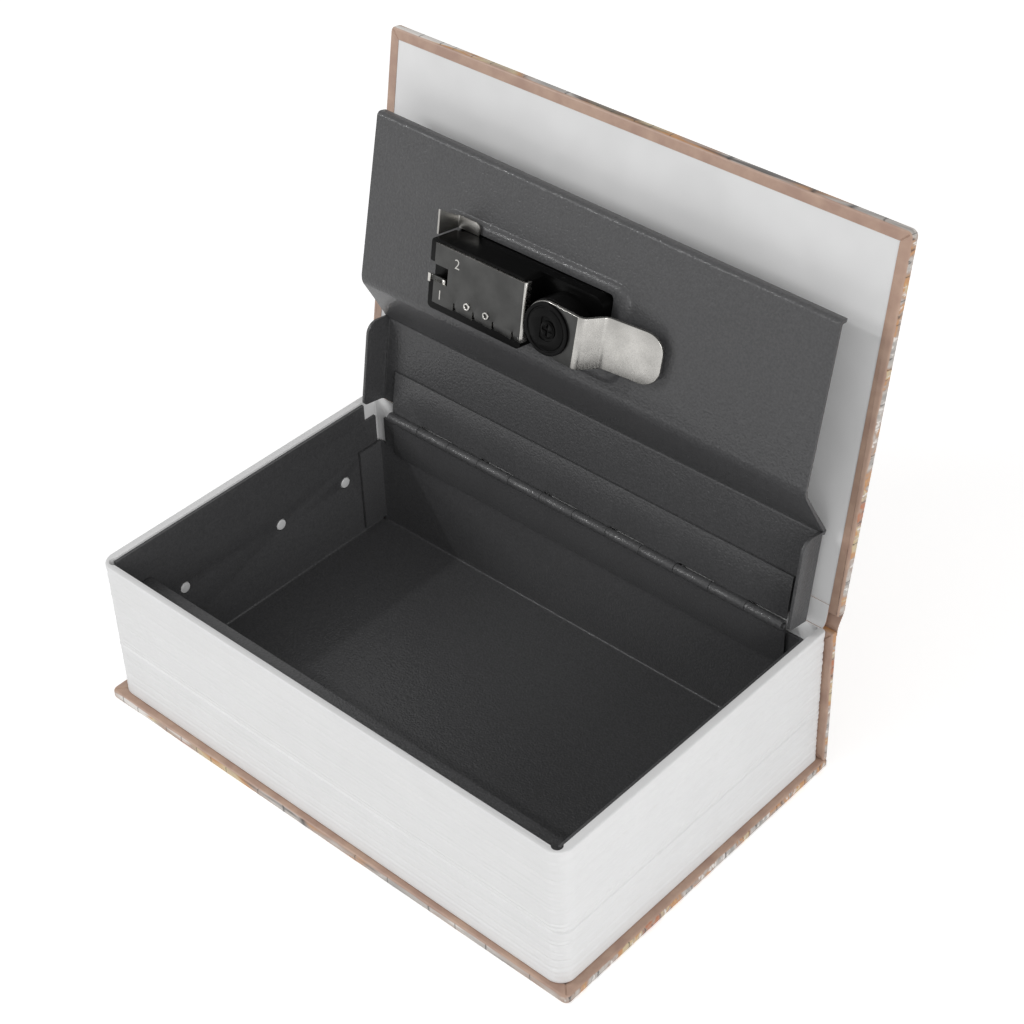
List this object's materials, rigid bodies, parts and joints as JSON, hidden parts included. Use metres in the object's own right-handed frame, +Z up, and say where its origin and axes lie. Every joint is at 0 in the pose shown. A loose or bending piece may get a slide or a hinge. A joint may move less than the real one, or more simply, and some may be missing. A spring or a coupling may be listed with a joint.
{
  "type": "book diversion safe",
  "caption": "Hardback book that opens on a sunk steel cash tray with a piano-hinged lid, a combination cam lock and false page edges.",
  "frame": {"origin": "middle of the base board's footprint, on the surface that the book lies on", "axes": "+X along the spine, +Y towards the spine, +Z up"},
  "size_m": [0.18, 0.1371, 0.1672],
  "materials": {
    "board": "grey bookbinding board",
    "cover_print": "laminated printed paper, brown with a mottled red, orange and grey pattern outside",
    "endpaper": "smooth white paper",
    "page_plastic": "white moulded plastic",
    "powder_coat": "dark grey fine-textured powder coat",
    "nickel": "bright nickel plate",
    "lock_plastic": "black moulded plastic"
  },
  "bodies": {
    "book": {"base_board": "board", "wrap_base": "cover_print", "spine_board": "board", "wrap_spine": "cover_print", "joint_strip_spine": "cover_print", "page_block": "page_plastic", "steel_tray": "powder_coat", "frame_rivet_1": "page_plastic", "frame_rivet_2": "page_plastic", "frame_rivet_3": "page_plastic", "frame_rivet_4": "page_plastic", "frame_rivet_5": "page_plastic", "frame_rivet_6": "page_plastic", "tray_hinge_leaf": "powder_coat", "hinge_pin": "powder_coat"},
    "cover": {"cover_board": "board", "wrap_cover": "cover_print", "joint_strip_cover": "cover_print", "cover_endpaper": "endpaper"},
    "lid": {"lid_plate": "powder_coat", "lid_hinge_leaf": "powder_coat", "lock_body": "lock_plastic", "lock_back_plate": "nickel", "plate_rivet_1": "nickel", "plate_rivet_2": "nickel", "lock_clip": "nickel", "dial_axle": "nickel"},
    "dial_1": {"dial_wheel_1": "lock_plastic"},
    "dial_2": {"dial_wheel_2": "lock_plastic"},
    "dial_3": {"dial_wheel_3": "lock_plastic"},
    "latch": {"turn_knob": "lock_plastic", "latch_arm": "nickel", "hub_cap": "lock_plastic"},
    "reset": {"reset_lever": "nickel"}
  },
  "joints": [
    {"name": "lid_hinge", "type": "hinge", "parent": "book", "child": "lid", "pos_m": [0, 0.0517, 0.0494], "axis": [1, 0, 0], "range_deg": [0, 100]},
    {"name": "cover_hinge", "type": "hinge", "parent": "book", "child": "cover", "pos_m": [0, 0.05775, 0.0535], "axis": [1, 0, 0], "range_deg": [0, 100]},
    {"name": "latch_turn", "type": "hinge", "parent": "lid", "child": "latch", "pos_m": [0.0007, 0.04247, 0.12028], "axis": [0, -0.9848, 0.1736], "range_deg": [0, 93]},
    {"name": "dial_1_spin", "type": "hinge", "parent": "lid", "child": "dial_1", "pos_m": [-0.0302, 0.05116, 0.11834], "axis": [1, 0, 0], "continuous": true},
    {"name": "dial_2_spin", "type": "hinge", "parent": "lid", "child": "dial_2", "pos_m": [-0.0229, 0.05116, 0.11834], "axis": [1, 0, 0], "continuous": true},
    {"name": "dial_3_spin", "type": "hinge", "parent": "lid", "child": "dial_3", "pos_m": [-0.0156, 0.05116, 0.11834], "axis": [1, 0, 0], "continuous": true},
    {"name": "reset_slide", "type": "slide", "parent": "lid", "child": "reset", "axis": [0, 0.1736, 0.9848], "range_m": [0, 0.0025]}
  ],
  "couplings": [
    {"joint": "cover_hinge", "follows": "lid_hinge", "ratio": 1}
  ]
}
